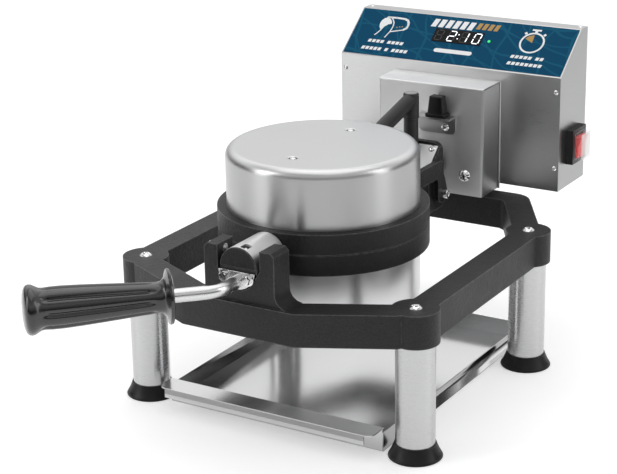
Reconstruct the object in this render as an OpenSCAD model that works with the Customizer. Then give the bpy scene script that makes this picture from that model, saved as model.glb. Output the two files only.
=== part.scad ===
// Rotary waffle iron on a cast stand, with a heated lid that opens, a head that
// turns over, a control box on a rear bracket and a drip tray.
// Millimetres. +Z is up, -Y is the front, where the handle is.
// Lengths along Y are measured from the middle of the four legs and moved at the
// end, so that the origin is under the middle of the whole machine.

/* [Stand] */
// Half the distance between the left and the right legs
leg_x = 148; // [146:0.5:152]
// Half the distance between the front and the rear legs
leg_y = 121; // [118:0.5:124]
// Radius of a leg tube
leg_r = 18.5; // [16:0.5:19]
// Height of the top of the cast frame
frame_top = 145.4; // [143:0.1:147]
// Height of the frame's bars
frame_h = 32; // [28:1:34]
// Radius of a rubber foot at the floor
foot_r = 25.5; // [22:0.5:26]

/* [Heated head] */
// Height of the plane between the two halves, where the head turns
parting_z = 177.1; // [176:0.1:178]
// Centre of the round head along Y
head_y = -30.3; // [-32:0.1:-29]
// Outer radius of the cast rings
ring_r = 102.5; // [101:0.5:104]
// Height of one ring
ring_h = 19.8; // [18:0.1:21]
// Radius of the waffle that it bakes
waffle_r = 88; // [87:0.5:89]
// Outer radius of the sheet metal covers
cover_r = 93.2; // [92:0.1:94]
// Height of one cover
cover_h = 57.4; // [50:0.1:60]
// Rounding of a cover's outer edge
cover_edge_r = 9; // [6:0.5:12]
// Gap between the closed halves
parting_gap = 0.5; // [0.4:0.1:0.8]

/* [Hub and handle] */
// Outer radius of the front hub
hub_r = 19.5; // [18.5:0.1:19.8]
// Front face of the hub
hub_front_y = -182; // [-184:0.5:-181]
// Radius of the handle rod
rod_r = 6.35; // [5.5:0.05:6.5]
// Height of the handle rod
rod_z = 165; // [164:0.5:166]
// Turn of the handle to the left, in degrees
handle_turn = 46; // [40:1:50]
// Length of the grip
grip_len = 131; // [120:1:135]

/* [Rear pivot] */
// Height of the lid's hinge
hinge_z = 159; // [158:0.5:159.5]
// Place of the lid's hinge along Y
hinge_y = 151; // [150:0.5:152]
// Radius of the hollow shaft that the head turns on
shaft_r = 12; // [11:0.5:12.5]
// Running clearance at the shaft and the hinge bolts
running_gap = 0.05; // [0.02:0.01:0.09]
// Radius of the cable sleeve
sleeve_r = 7.9; // [7:0.1:8]

/* [Control box] */
// Width of the control box
box_w = 261.5; // [255:0.5:264]
// Front face of the control box
box_front_y = 233; // [232:0.5:234]
// Back of the control box
box_rear_y = 300.4; // [299:0.1:302]
// Height of the front's top edge
box_brow_z = 273.8; // [270:0.1:276]
// Height of the top
box_top_z = 315.2; // [312:0.1:318]
// Width of the bracket behind the head
bracket_w = 124; // [116:1:128]

/* [Drip tray] */
// Width of the tray
tray_w = 237.7; // [230:0.1:239]
// Height of the tray's walls
tray_h = 19; // [16:0.5:20]

/* [Hidden] */
$fn = 96;
sheet = 1.5;
screw_fit = 0.05;
small_hole_r = 1.5;
screw_hole_r = 2;
frame_low = frame_top - frame_h;

// stand
boss_r = 22.5;
rear_corner = [87.3, 200.5];
rear_corner_r = 24;
foot_h = 14;
foot_floor = 4;
leg_wall = 1.5;
leg_plug = 10;
frame_screw_r = 3;
frame_screw_head = [6.2, 3];
cradle_y0 = -184;
cradle_y1 = -158;
cradle_mid_y = (cradle_y0 + cradle_y1) / 2;
cradle_x = [-35, 39.5];
cradle_gap_x = 24.5;
cradle_top = 197;
cradle_gap = 1;
cradle_fillet = 13;
cradle_bevel = 5;
cradle_slope = 60;
plunger_z = 190;
plunger_end_x = -20;
plunger_r = 4;
index_pin_r = 2;
index_tip_x = -18.6;

// head
ring_low = parting_z - parting_gap / 2 - ring_h;
ledge_r = 80;
ledge_h = 4;
arm_start_r = 95;
plate_r = waffle_r - 0.1;
plate_floor = 4;
peg_pitch = 17;
peg_foot = 11;
peg_head = 7.5;
peg_edge = 10;
peg_drop = 2.5;
heater_orbit = 62;
heater_r = 4;
heater_ends = [80, 100];
lead_r = 3;
lead_len = 30;
sensor_r = 4;
sensor_len = 14;
cover_wall = 1.2;
cover_screw_y = 54;
cover_screw_r = 3.4;
arm_root_y = 50;
arm_relief = 0.6;
neck_r = hub_r - 2;
neck_end_y = head_y - ring_r + 4;
sleeve_end_y = -133.2;
face_t = 1.2;
hub_slot = [[1, -179.5], [8, -169]];
hub_slot_r = 2;
hub_screw_at = [4.6, -175.5, 16.4];
hub_screw_head = [2.4, 1.4];
hub_screw_r = 1.15;
hub_screw_len = 8;

// handle
hub_plate_t = 3;
handle_bolt_r = 2.45;
handle_bolt_at = [12, 169];
handle_bolt_head = [4.6, 4];
handle_bolt_len = 16;
hub_plate_drop = 2.3;
rod_start_y = hub_front_y - hub_plate_t;
bend_r = 30;
bend_y = -200;
// The bend is drawn a hair thinner than the straight rods that lap over its ends.
bend_thin = 0.05;
bend_lap = 0.5;
rod_run = 30;
grip_bore_depth = 105;
grip_end_r = 18;
grip_lip = [20.8, 129];
grip_x = -bend_r + bend_r * cos(handle_turn) - rod_run * sin(handle_turn);
grip_y = bend_y - bend_r * sin(handle_turn) - rod_run * cos(handle_turn);

// rear pivot
yoke_x = 30;
yoke_y0 = 133;
yoke_y1 = 165;
yoke_low = 140;
yoke_top = 210;
rim_t = 6;
junction_t = 1.5;
junction_half = 28.5;
junction_y = [1, 32];
junction_screw_at = [23, 28];
yoke_pocket = [[-21, 143, 168], [21, 158, 190]];
rim_corner_r = 9;
slope_foot = [133, 185.2];
slope_head = [157, 206.5];
yoke_tilt = atan2(slope_head[1] - slope_foot[1], slope_head[0] - slope_foot[0]);
arm_x0 = 31;
arm_x1 = 37;
lid_arm_top = 195.5;
base_arm_x = 12;
lug_r = 10;
shoulder_r = 4;
hinge_thread_r = 3;
hinge_thread_x = 18;
hinge_head = [4.7, 6];
hinge_play = 0.4;
shaft_flange_y = 170;
shaft_flange_r = 17.5;
shaft_wall = 5;
disc_r = 20;
flange_y0 = 184.5;
bush_r = 15;
bush_y1 = 196;
bracket_y0 = 192.5;
bracket_top = 263;
bracket_wall = 2;
bracket_bolt_at = [41, 167];
bracket_bolt_r = 3;
bracket_bolt_head = [7, 4.5];
collar_gap = 0.5;
collar_y1 = 204;
shaft_end_y = 240;
sleeve_y = 150;
sleeve_foot_z = 190;
elbow_r = 8.5;
elbow_low = 236;
elbow_top = 262.5;
arm_z = 256;
arm_tilt = 13.9;
arm_len = 101;

// control box
box_low = 151;
box_flat_y = 285;
slope_tilt = atan2(box_top_z - box_brow_z, box_flat_y - box_front_y);
slope_len = norm([box_top_z - box_brow_z, box_flat_y - box_front_y]);
label_t = 0.5;
label_edge = 1.5;
label_foot = 2;
window_t = 1;
light_h = 1.2;
window = [[-32, 29.5], [26.5, 47.5]];
light_at = [35, 36.8];
light_r = 1.6;
box_screw_r = 2.8;
box_screw_x = 125.5;
box_screw_z = [175.8, 258];
box_screw_y = 295;
box_screw_len = 5;
bezel = [[252, 176.5], [286, 213.5]];
bezel_t = 8;
bezel_rim = 4;
switch_depth = 22;
rocker_gap = 0.5;
rocker_pin_end = 2.5;
rocker_root = [-2, 8];
rocker_waist = 3;
rocker_y = [260.5, 277.5];
rocker_z = 195;
rocker_x = box_w / 2 + 4.2;
rocker_lean = 10;
rocker_pin_r = 1.5;
rocker_half = 11.5;
rocker_stand = 8;
rocker_dip = 1.8;
slot_half = 13.2;
guard_t = 8;
guard_half = 14.5;
guard_side = 4;
guard_wall = 1;
gland_at = [-92, 176];
gland_len = 10;
gland_r = 9;
gland_neck_r = 6;
gland_inside = 4;
cord_r = 4;
board_z = 262;
board_t = 1.6;
clip_x = [-12, 31];
clip_z = [211, 231];
clip_t = 2;
clip_y = 176;
bumper_x = 13.5;
bumper_h = 22.5;
bumper_taper = 0.78;
bumper_y = 7.5;
bumper_pad = [23, 14, 4];
bumper_foot = [19, 13];
bumper_screw_at = [18.8, 218];

// tray
tray_front_y = -129;
tray_rear_y = 178.8;
tray_sheet = 1.2;
lip_z = 24.2;
lip_reach = 22.5;
lip_drop = 10;

// the whole machine's middle along Y
front_y = grip_y - grip_lip[1] * cos(handle_turn) - grip_lip[0] * sin(handle_turn);
rear_y = box_rear_y + sheet + gland_len;
mid_y = (front_y + rear_y) / 2;

// ---------- helpers ----------

// Moves a sub-part from the legs' middle to the machine's own origin.
module machine() translate([0, -mid_y, 0]) children();

// Mirrors a part of the lower half to the upper half.
module upper_half() translate([0, 0, 2 * parting_z]) mirror([0, 0, 1]) children();

module both_sides() {
    children();
    mirror([1, 0, 0]) children();
}

module span(lo, hi) translate(lo) cube(hi - lo);

module rod_x(x0, x1, r) translate([x0, 0, 0]) rotate([0, 90, 0]) cylinder(h = x1 - x0, r = r);

module rod_y(y0, y1, r) translate([0, y0, 0]) rotate([-90, 0, 0]) cylinder(h = y1 - y0, r = r);

// A flat outline of Y and Z, given a thickness along X.
module plate_x(x0, x1) translate([x0, 0, 0]) rotate([90, 0, 90]) linear_extrude(x1 - x0) children();

// A flat outline of X and Z, given a thickness along Y.
module plate_y(y0, y1) translate([0, y1, 0]) rotate([90, 0, 0]) linear_extrude(y1 - y0) children();

// A domed screw head standing on z = 0, with its shank below.
module dome_screw(r, h, shank_r, shank_len) {
    ball = (r * r + h * h) / (2 * h);
    intersection() {
        translate([0, 0, h - ball]) sphere(ball);
        cylinder(h = h, r = r);
    }
    translate([0, 0, -shank_len]) cylinder(h = shank_len, r = shank_r);
}

module hex_bolt(r, h, shank_r, shank_len) {
    cylinder(h = h, r = r, $fn = 6);
    translate([0, 0, -shank_len]) cylinder(h = shank_len, r = shank_r);
}

// Places a child on the sloped face: X across, Y up the slope, Z out of it.
module on_slope() translate([0, box_front_y, box_brow_z]) rotate([slope_tilt, 0, 0]) children();

// ---------- stand ----------

module at_leg(side, end) translate([side * leg_x, end * leg_y, 0]) children();

module frame_outer() {
    half = [[60, -187], [143, -146.5], [163, -121], [163, 121], [152, 138], [108, 212.7],
        rear_corner + [0, rear_corner_r]];
    polygon([for (p = half) p, for (i = [len(half) - 1:-1:0]) [-half[i][0], half[i][1]]]);
    for (side = [-1, 1]) translate([side * rear_corner[0], rear_corner[1]]) circle(rear_corner_r);
    for (side = [-1, 1], end = [-1, 1]) translate([side * leg_x, end * leg_y]) circle(boss_r);
}

module frame_inner() {
    half = [[53, -160], [128, -123], [136, -113], [136, 113], [129, 122.4], [87, 193.6], [80, 197.5]];
    difference() {
        polygon([for (p = half) p, for (i = [len(half) - 1:-1:0]) [-half[i][0], half[i][1]]]);
        for (side = [-1, 1], end = [-1, 1]) translate([side * leg_x, end * leg_y]) circle(boss_r);
    }
}

// Open saddle for the front hub: a post on each side, a round seat between them
// and, on the right, a slope that widens the way in.
module cradle() {
    seat_r = hub_r + cradle_gap;
    seat_end = [seat_r * sin(cradle_slope), parting_z - seat_r * cos(cradle_slope)];
    plate_y(cradle_y0, cradle_y1) difference() {
        union() {
            translate([cradle_x[0], frame_top - 1])
                square([cradle_x[1] - cradle_x[0], cradle_top - frame_top + 1]);
            translate([cradle_x[0] - cradle_fillet, frame_top - 1])
                square([cradle_x[1] - cradle_x[0] + 2 * cradle_fillet, cradle_fillet + 1]);
        }
        for (side = [0, 1]) {
            foot_x = cradle_x[side] + (2 * side - 1) * cradle_fillet;
            translate([foot_x, frame_top + cradle_fillet]) circle(cradle_fillet);
            translate([cradle_x[side], cradle_top]) rotate(45) square(cradle_bevel, center = true);
        }
        translate([0, parting_z]) circle(seat_r);
        polygon([
            [0, parting_z], seat_end,
            [cradle_gap_x, seat_end[1] + (cradle_gap_x - seat_end[0]) * tan(cradle_slope)],
            [cradle_gap_x, cradle_top + 1], [-seat_r, cradle_top + 1], [-seat_r, parting_z]
        ]);
    }
}

module stand_frame() color("#38383a") machine() difference() {
    union() {
        translate([0, 0, frame_low]) linear_extrude(frame_h) difference() {
            frame_outer();
            frame_inner();
        }
        cradle();
    }
    for (side = [-1, 1], end = [-1, 1]) at_leg(side, end)
        translate([0, 0, frame_low - 1]) cylinder(h = frame_h + 2, r = frame_screw_r + 0.1);
    at_plunger() rod_x(cradle_x[0] - 1, -hub_r + 1, plunger_r);
}

module leg(side, end) color("#b9bbbd") machine() at_leg(side, end) difference() {
    translate([0, 0, foot_floor]) cylinder(h = frame_low - foot_floor, r = leg_r);
    translate([0, 0, foot_floor - 1])
        cylinder(h = frame_low - foot_floor - leg_plug + 1, r = leg_r - leg_wall);
    translate([0, 0, frame_low - leg_plug - 1]) cylinder(h = leg_plug + 2, r = frame_screw_r + 0.1);
}

module leg_front_left() leg(-1, -1);
module leg_front_right() leg(1, -1);
module leg_rear_left() leg(-1, 1);
module leg_rear_right() leg(1, 1);

module foot(side, end) color("#1c1c1d") machine() at_leg(side, end) rotate_extrude()
    polygon([
        [0, 0], [foot_r, 0], [foot_r, 2], [foot_r - 3, 7], [leg_r + 1.2, foot_h],
        [leg_r, foot_h], [leg_r, foot_floor], [0, foot_floor]
    ]);

module foot_front_left() foot(-1, -1);
module foot_front_right() foot(1, -1);
module foot_rear_left() foot(-1, 1);
module foot_rear_right() foot(1, 1);

module frame_screws() color("#c9cacc") machine()
    for (side = [-1, 1], end = [-1, 1]) at_leg(side, end)
        translate([0, 0, frame_top]) dome_screw(
            frame_screw_head[0], frame_screw_head[1], frame_screw_r, frame_h + leg_plug - 2);

module drip_tray() color("#b7b9bb") machine() {
    x = tray_w / 2;
    difference() {
        span([-x, tray_front_y, 0], [x, tray_rear_y, tray_h]);
        span([-x + tray_sheet, tray_front_y + tray_sheet, tray_sheet],
             [x - tray_sheet, tray_rear_y - tray_sheet, tray_h + 1]);
    }
    span([-x, tray_front_y, tray_h - 1], [x, tray_front_y + tray_sheet, lip_z]);
    span([-x, tray_front_y - lip_reach, lip_z - tray_sheet], [x, tray_front_y + tray_sheet, lip_z]);
    span([-x, tray_front_y - lip_reach, lip_z - lip_drop], [x, tray_front_y - lip_reach + tray_sheet, lip_z]);
}

// ---------- rear bracket and pivot ----------

module bracket_bolt_places() for (side = [-1, 1])
    translate([side * bracket_bolt_at[0], bracket_y0, bracket_bolt_at[1]]) rotate([90, 0, 0]) children();

module pivot_bracket() color("#b4b6b8") machine() difference() {
    span([-bracket_w / 2, bracket_y0, frame_top], [bracket_w / 2, box_front_y, bracket_top]);
    span([-bracket_w / 2 + bracket_wall, bracket_y0 + bracket_wall, frame_top + bracket_wall],
         [bracket_w / 2 - bracket_wall, box_front_y + 1, bracket_top - bracket_wall]);
    translate([0, 0, parting_z]) rod_y(bracket_y0 - 1, bracket_y0 + 3, bush_r);
    bracket_bolt_places() translate([0, 0, -3]) cylinder(h = 4, r = bracket_bolt_r);
    translate([bumper_screw_at[0], bracket_y0 - 1, bumper_screw_at[1]]) rod_y(0, 4, screw_hole_r);
}

module bracket_bolts() color("#cfd0d2") machine()
    bracket_bolt_places()
        dome_screw(bracket_bolt_head[0], bracket_bolt_head[1], bracket_bolt_r - screw_fit, 10);

// Fixed bearing housing on the front of the bracket.
module shaft_flange() color("#2c2c2e") machine() translate([0, 0, parting_z]) difference() {
    rod_y(flange_y0, bracket_y0, shaft_flange_r);
    rod_y(flange_y0 - 1, bracket_y0 + 1, bush_r);
}

module shaft_bush() color("#a98b4d") machine() translate([0, 0, parting_z]) difference() {
    rod_y(flange_y0, bush_y1, bush_r);
    rod_y(flange_y0 - 1, bush_y1 + 1, shaft_r + running_gap);
}

module bumper_bracket() color("#c4c6c8") machine() {
    difference() {
        span([clip_x[0], bracket_y0 - clip_t, clip_z[0]], [clip_x[1], bracket_y0, clip_z[1]]);
        translate([bumper_screw_at[0], bracket_y0 - clip_t - 1, bumper_screw_at[1]])
            rod_y(0, 4, screw_hole_r);
    }
    span([clip_x[0], clip_y, clip_z[1] - clip_t], [clip_x[1], bracket_y0 - clip_t, clip_z[1]]);
}

module lid_bumper() color("#1e1e1f") machine() translate([bumper_x, clip_y + bumper_y, clip_z[1]]) {
    translate([-bumper_pad[0] / 2, -bumper_pad[1] / 2, 0]) cube(bumper_pad);
    linear_extrude(bumper_h, scale = bumper_taper) square(bumper_foot, center = true);
}

module bumper_screw() color("#cfd0d2") machine()
    translate([bumper_screw_at[0], bracket_y0 - clip_t, bumper_screw_at[1]])
        rotate([90, 0, 0]) dome_screw(4.7, 2.6, screw_hole_r - screw_fit, 8);

// ---------- control box ----------

module box_outline(t) polygon([
    [box_front_y + t, box_low + t],
    [box_rear_y + (t > 0 ? 1 : 0), box_low + t],
    [box_rear_y + (t > 0 ? 1 : 0), box_top_z - t],
    [box_flat_y + t * tan(slope_tilt / 2), box_top_z - t],
    [box_front_y + t, box_brow_z - t * tan(45 - slope_tilt / 2)]
]);

module box_front_screw_places() for (side = [-1, 1], z = box_screw_z)
    translate([side * box_screw_x, box_front_y, z]) rotate([90, 0, 0]) children();

module box_top_screw_places() for (side = [-1, 1])
    translate([side * box_screw_x, box_screw_y, box_top_z]) children();

module control_box_shell() color("#b6b8ba") machine() difference() {
    plate_x(-box_w / 2, box_w / 2) box_outline(0);
    plate_x(-box_w / 2 + sheet, box_w / 2 - sheet) box_outline(sheet);
    translate([0, 0, parting_z]) rod_y(box_front_y - 1, box_front_y + 3, shaft_r + 2);
    box_front_screw_places() translate([0, 0, -3]) cylinder(h = 4, r = small_hole_r);
    box_top_screw_places() translate([0, 0, -3]) cylinder(h = 4, r = small_hole_r);
    span([box_w / 2 - 3, bezel[0][0] + bezel_rim, bezel[0][1] + bezel_rim],
         [box_w / 2 + 1, bezel[1][0] - bezel_rim, bezel[1][1] - bezel_rim]);
}

module control_box_back() color("#a9abad") machine() difference() {
    span([-box_w / 2, box_rear_y, box_low], [box_w / 2, box_rear_y + sheet, box_top_z]);
    translate([gland_at[0], 0, gland_at[1]]) rod_y(box_rear_y - 1, box_rear_y + sheet + 1, gland_neck_r);
}

module control_box_screws() color("#d0d1d3") machine() {
    box_front_screw_places() dome_screw(box_screw_r, 1.5, small_hole_r - screw_fit, box_screw_len);
    box_top_screw_places() dome_screw(box_screw_r, 1.5, small_hole_r - screw_fit, box_screw_len);
}

module control_label() color("#0c4a6e") machine() on_slope() difference() {
    span([-box_w / 2 + label_edge, label_foot, 0], [box_w / 2 - label_edge, slope_len - label_edge, label_t]);
    span([window[0][0], window[0][1], -1], [window[1][0], window[1][1], 2]);
    translate([light_at[0], light_at[1], -1]) cylinder(h = 3, r = light_r);
}

module display_window() color("#0a0a0c") machine() on_slope()
    span([window[0][0], window[0][1], 0], [window[1][0], window[1][1], window_t]);

module ready_light() color("#3fbf4d") machine() on_slope()
    translate([light_at[0], light_at[1], 0]) cylinder(h = light_h, r = light_r);

module switch_body() color("#161617") machine() {
    x = box_w / 2;
    difference() {
        union() {
            span([x, bezel[0][0], bezel[0][1]], [x + bezel_t, bezel[1][0], bezel[1][1]]);
            span([x - switch_depth, bezel[0][0] + bezel_rim, bezel[0][1] + bezel_rim],
                 [x, bezel[1][0] - bezel_rim, bezel[1][1] - bezel_rim]);
        }
        span([x, rocker_y[0] - rocker_gap, rocker_z - slot_half],
             [x + bezel_t + 1, rocker_y[1] + rocker_gap, rocker_z + slot_half]);
        translate([rocker_x, 0, rocker_z]) rod_y(
            rocker_y[0] - rocker_pin_end - rocker_gap, rocker_y[1] + rocker_pin_end + rocker_gap,
            rocker_pin_r + running_gap);
    }
}

module switch_rocker() color("#c8171c") machine() translate([rocker_x, 0, rocker_z]) {
    rotate([0, rocker_lean, 0]) plate_y(rocker_y[0], rocker_y[1])
        polygon([
            [rocker_root[0], -rocker_root[1]], rocker_root,
            [rocker_waist, rocker_half], [rocker_stand, rocker_half],
            [rocker_stand - rocker_dip, 0], [rocker_stand, -rocker_half], [rocker_waist, -rocker_half]
        ]);
    rod_y(rocker_y[0] - rocker_pin_end, rocker_y[1] + rocker_pin_end, rocker_pin_r);
}

module switch_cover() color([0.85, 0.87, 0.88, 0.4]) machine() {
    x = box_w / 2 + bezel_t;
    difference() {
        span([x, rocker_y[0] - guard_side, rocker_z - guard_half],
             [x + guard_t, rocker_y[1] + guard_side, rocker_z + guard_half]);
        span([x - 1, rocker_y[0] - guard_side + guard_wall, rocker_z - guard_half + guard_wall],
             [x + guard_t - guard_wall, rocker_y[1] + guard_side - guard_wall,
              rocker_z + guard_half - guard_wall]);
    }
}

module cord_gland() color("#1a1a1b") machine() translate([gland_at[0], 0, gland_at[1]]) difference() {
    union() {
        rod_y(box_rear_y - gland_inside, box_rear_y + sheet, gland_neck_r);
        rod_y(box_rear_y + sheet, rear_y, gland_r);
    }
    rod_y(box_rear_y - gland_inside - 1, rear_y + 1, cord_r);
}

module control_board() color("#1f6b3a") machine()
    span([-60, 262, board_z], [60, 296, board_z + board_t]);

module transformer() color("#7a6a3c") machine() 
    span([-105, 255, box_low + sheet], [-60, 292, 190]);

module relay() color("#22304f") machine() span([20, 268, board_z + board_t], [48, 288, 282]);

module terminal_block() color("#e4e1d6") machine() 
    span([30, 262, box_low + sheet], [90, 284, 170]);

// ---------- cradle plunger ----------

module at_plunger() translate([0, cradle_mid_y, plunger_z]) children();

module plunger_housing() color("#8e9092") machine() at_plunger() difference() {
    rod_x(cradle_x[0] - 2, plunger_end_x, plunger_r);
    rod_x(cradle_x[0] + 2, plunger_end_x + 1, index_pin_r + running_gap);
}

module index_pin() color("#d5d6d8") machine() at_plunger() rod_x(cradle_x[0] + 6, index_tip_x, index_pin_r);

// ---------- heated head ----------

// One half's casting, drawn as the lower one.
module half_ring() {
    top = ring_low + ring_h;
    difference() {
        union() {
            translate([0, head_y, ring_low]) cylinder(h = ring_h, r = ring_r);
            intersection() {
                translate([0, 0, parting_z]) {
                    rod_y(hub_front_y, neck_end_y, neck_r);
                    rod_y(hub_front_y, hub_front_y + face_t, hub_r - 0.2);
                }
                span([-30, hub_front_y, ring_low - 20], [30, neck_end_y, top]);
            }
        }
        translate([0, head_y, ring_low - 1]) cylinder(h = ring_h + 2, r = ledge_r);
        translate([0, head_y, ring_low + ledge_h]) cylinder(h = ring_h, r = waffle_r);
    }
}

module half_grid_plate() translate([0, head_y, ring_low + ledge_h]) {
    cylinder(h = plate_floor, r = plate_r);
    for (i = [-5:4], j = [-5:4]) {
        at = [(i + 0.5) * peg_pitch, (j + 0.5) * peg_pitch];
        if (norm(at) < waffle_r - peg_edge) translate([at[0], at[1], plate_floor])
            linear_extrude(ring_h - ledge_h - plate_floor - peg_drop, scale = peg_head / peg_foot)
                square(peg_foot, center = true);
    }
}

module half_heater() translate([0, head_y, ring_low + ledge_h - heater_r]) {
    rotate(heater_ends[1]) rotate_extrude(angle = 360 - heater_ends[1] + heater_ends[0])
        translate([heater_orbit, 0]) circle(heater_r);
    for (a = heater_ends) rotate(a)
        translate([heater_orbit, 0, -lead_len]) cylinder(h = lead_len, r = lead_r);
}

module cover_outline(r, h, edge) {
    square([r, h - edge]);
    square([r - edge, h]);
    translate([r - edge, h - edge]) circle(edge);
}

module right_half() intersection() {
    children();
    translate([0, -1]) square([200, 200]);
}

module cover_screw_places() for (side = [-1, 1])
    translate([0, head_y + side * cover_screw_y, ring_low - cover_h]) mirror([0, 0, 1]) children();

// One half's sheet metal drum, drawn as the lower one.
module half_cover() difference() {
    translate([0, head_y, ring_low]) mirror([0, 0, 1]) rotate_extrude() difference() {
        right_half() cover_outline(cover_r, cover_h, cover_edge_r);
        right_half() translate([0, -1])
            cover_outline(cover_r - cover_wall, cover_h - cover_wall + 1, cover_edge_r - cover_wall);
    }
    cover_screw_places() translate([0, 0, -3]) cylinder(h = 4, r = screw_hole_r);
}

module half_cover_screws() cover_screw_places()
    dome_screw(cover_screw_r, 1.8, screw_hole_r - screw_fit, 12);

// A half tube round the neck, which turns in the cradle.
module half_hub_sleeve() intersection() {
    translate([0, 0, parting_z]) difference() {
        rod_y(hub_front_y + face_t, sleeve_end_y, hub_r);
        rod_y(hub_front_y, sleeve_end_y + 1, neck_r);
    }
    span([-30, hub_front_y, ring_low - 20], [30, sleeve_end_y, ring_low + ring_h]);
}

module handle_bolt_places() for (side = [-1, 1])
    translate([side * handle_bolt_at[0], rod_start_y, handle_bolt_at[1]]) rotate([90, 0, 0]) children();

// Space kept free of the rings' rear arms, so that they start inside a ring's wall.
module head_space() translate([0, head_y, parting_z - 30]) cylinder(h = 60, r = arm_start_r);

// The lower half's arm, from the ring's rear to the yoke.
module base_arm() plate_x(base_arm_x, yoke_x - 0.5) polygon([
    [arm_root_y, ring_low + 1], [98, ring_low + 1], [118, yoke_low], [yoke_y0, yoke_low],
    [yoke_y0, parting_z - arm_relief], [arm_root_y, parting_z - arm_relief]
]);

module base_ring() color("#313133") machine() difference() {
    union() {
        half_ring();
        difference() {
            both_sides() base_arm();
            head_space();
        }
    }
    handle_bolt_places() translate([0, 0, -20]) cylinder(h = 30, r = handle_bolt_r + screw_fit);
}

module base_grid_plate() color("#5a5a5c") machine() half_grid_plate();
module base_heater() color("#8a8378") machine() half_heater();
module base_sensor() color("#c0b070") machine()
    translate([0, head_y, ring_low + ledge_h - sensor_len]) cylinder(h = sensor_len, r = sensor_r);
module base_cover() color("#b3b5b7") machine() half_cover();
module base_cover_screws() color("#c9cacc") machine() half_cover_screws();
module base_hub_sleeve() color("#bfc1c3") machine() half_hub_sleeve();

// Half-round end plate that carries the handle.
module handle_plate() color("#b1b3b5") machine() difference() {
    intersection() {
        translate([0, 0, parting_z]) rod_y(rod_start_y, hub_front_y, hub_r);
        span([-30, rod_start_y, 100], [30, hub_front_y, parting_z - hub_plate_drop]);
    }
    handle_bolt_places() translate([0, 0, -4]) cylinder(h = 5, r = handle_bolt_r + screw_fit);
}

module handle_bolts() color("#d0d1d3") machine() handle_bolt_places()
    hex_bolt(handle_bolt_head[0], handle_bolt_head[1], handle_bolt_r, handle_bolt_len);

module handle_rod() color("#c6c7c9") machine() translate([0, 0, rod_z]) {
    rod_y(bend_y - bend_lap, rod_start_y, rod_r);
    translate([-bend_r, bend_y, 0]) rotate(-handle_turn) rotate_extrude(angle = handle_turn)
        translate([bend_r, 0]) circle(rod_r - bend_thin);
    translate([grip_x, grip_y, 0]) rotate(-handle_turn)
        rod_y(-grip_bore_depth, rod_run + bend_lap, rod_r);
}

module handle_grip() color("#151516") machine()
    translate([grip_x, grip_y, rod_z]) rotate([90, 0, -handle_turn]) difference() {
        rotate_extrude() polygon([
            [0, 0], [25, 0], [25, 4.5], [15, 6.5], [13.7, 11], [14.4, 25], [17, 60], [18.8, 95],
            [18.4, 116], [22.2, 121], [22.5, 125.5], grip_lip, [grip_end_r, grip_len], [0, grip_len]
        ]);
        translate([0, 0, -1]) cylinder(h = grip_bore_depth + 1, r = rod_r + 0.02);
    }

// ---------- rear yoke, hinge and shaft ----------

module rear_yoke() color("#2f2f31") machine() difference() {
    union() {
        plate_x(-yoke_x, yoke_x) polygon([
            [yoke_y0, yoke_low], [yoke_y1 - rim_t / 2, yoke_low], [yoke_y1 - rim_t / 2, slope_head[1]],
            slope_head, slope_foot
        ]);
        plate_y(yoke_y1 - rim_t, yoke_y1) {
            translate([-yoke_x, yoke_low]) square([2 * yoke_x, yoke_top - rim_corner_r - yoke_low]);
            translate([-yoke_x + rim_corner_r, yoke_low])
                square([2 * (yoke_x - rim_corner_r), yoke_top - yoke_low]);
            for (side = [-1, 1])
                translate([side * (yoke_x - rim_corner_r), yoke_top - rim_corner_r]) circle(rim_corner_r);
        }
    }
    span(yoke_pocket[0], yoke_pocket[1]);
    sleeve_hole();
    translate([0, 0, parting_z]) rod_y(150, yoke_y1 + 1, shaft_r - shaft_wall);
    translate([0, hinge_y, hinge_z]) rod_x(-yoke_x - 1, yoke_x + 1, hinge_thread_r);
    junction_screw_places() translate([0, 0, -12]) cylinder(h = 14, r = small_hole_r);
}

module sleeve_hole() translate([0, sleeve_y, 180]) cylinder(h = 40, r = sleeve_r + 0.5);

// Places a child on the yoke's slope: X across, Y up the slope, Z out of it.
module on_yoke_slope() translate([0, slope_foot[0], slope_foot[1]]) rotate([yoke_tilt, 0, 0]) children();

module junction_screw_places() on_yoke_slope() for (side = [-1, 1])
    translate([side * junction_screw_at[0], junction_screw_at[1], junction_t]) children();

// The sloped stainless cover over the wiring in the yoke.
module junction_cover() color("#c0c2c4") machine() difference() {
    on_yoke_slope() span([-junction_half, junction_y[0], 0], [junction_half, junction_y[1], junction_t]);
    sleeve_hole();
    junction_screw_places() translate([0, 0, -3]) cylinder(h = 4, r = small_hole_r);
}

module junction_screws() color("#d4d5d7") machine()
    junction_screw_places() dome_screw(3.8, 2, small_hole_r - screw_fit, 9);

module hinge_bolts() color("#cfd0d2") machine() both_sides()
    translate([0, hinge_y, hinge_z]) {
        rod_x(hinge_thread_x, yoke_x, hinge_thread_r - screw_fit);
        rod_x(yoke_x, arm_x1 + hinge_play, shoulder_r);
        rod_x(arm_x1 + hinge_play, arm_x1 + hinge_play + hinge_head[1], hinge_head[0]);
    }

module flip_shaft() color("#9c9ea0") machine() translate([0, 0, parting_z]) difference() {
    union() {
        rod_y(yoke_y1, shaft_flange_y, disc_r);
        rod_y(yoke_y1, shaft_end_y, shaft_r);
    }
    rod_y(yoke_y1 - 1, shaft_end_y + 1, shaft_r - shaft_wall);
}

module shaft_collar() color("#7f8183") machine() translate([0, 0, parting_z]) difference() {
    rod_y(bush_y1 + collar_gap, collar_y1, disc_r);
    rod_y(bush_y1, collar_y1 + 1, shaft_r);
}

// ---------- lid ----------

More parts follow.
